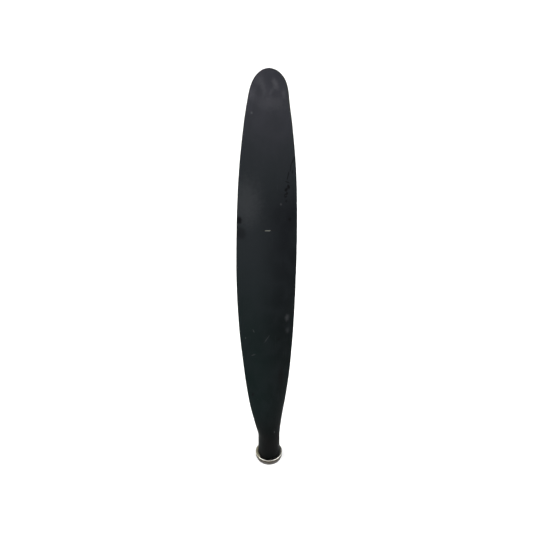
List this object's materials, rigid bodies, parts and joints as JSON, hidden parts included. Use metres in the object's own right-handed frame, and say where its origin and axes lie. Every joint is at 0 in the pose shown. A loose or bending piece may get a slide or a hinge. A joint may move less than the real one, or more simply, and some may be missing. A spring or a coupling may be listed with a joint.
{
  "type": "detached aircraft propeller blade",
  "caption": "Detached forged propeller blade with a rounded tip, flanged round shank, captive roller thrust bearing, bronze butt bushing and internal balance plug.",
  "frame": {"origin": "on the blade's pitch axis, at the butt face", "axes": "+Z along the pitch axis from the butt to the tip, +X to the leading edge, -Y out of the flat face"},
  "size_m": [0.1404, 0.0742, 1.1],
  "materials": {
    "blade_paint": "matte",
    "bushing_bronze": "satin",
    "fixing_steel": "satin",
    "bare_aluminium": "satin",
    "seal_rubber": "matte",
    "lead": "matte",
    "washer_steel": "satin",
    "retainer_bronze": "satin",
    "roller_steel": "satin",
    "polished_steel": "polished"
  },
  "bodies": {
    "blade": {"blade": "blade_paint", "blade_bushing": "bushing_bronze", "bushing_screws": "fixing_steel", "bushing_drive_pins": "fixing_steel", "balance_plug": "bare_aluminium", "plug_o_ring": "seal_rubber", "plug_snap_ring": "fixing_steel", "balance_stud": "fixing_steel", "stud_jam_nut": "fixing_steel", "lead_washers": "lead", "steel_washer": "fixing_steel", "castle_nut": "fixing_steel", "cotter_pin": "fixing_steel", "lead_wool": "lead"},
    "bevelled_washer": {"bevelled_thrust_washer": "washer_steel"},
    "roller_retainer": {"retainer_half_left": "retainer_bronze", "retainer_half_right": "retainer_bronze", "rollers_left": "roller_steel", "rollers_right": "roller_steel"},
    "flat_washer": {"flat_thrust_washer": "polished_steel"}
  },
  "joints": [
    {"name": "bearing_lift", "type": "slide", "parent": "blade", "child": "bevelled_washer", "axis": [0, 0, 1], "range_m": [0, 0.045]},
    {"name": "washer_spin", "type": "hinge", "parent": "bevelled_washer", "child": "flat_washer", "pos_m": [0, 0, 0.0191], "axis": [0, 0, 1], "continuous": true},
    {"name": "retainer_spin", "type": "hinge", "parent": "bevelled_washer", "child": "roller_retainer", "pos_m": [0, 0, 0.01525], "axis": [0, 0, 1], "continuous": true}
  ],
  "couplings": [
    {"joint": "retainer_spin", "follows": "washer_spin", "ratio": 0.5}
  ]
}
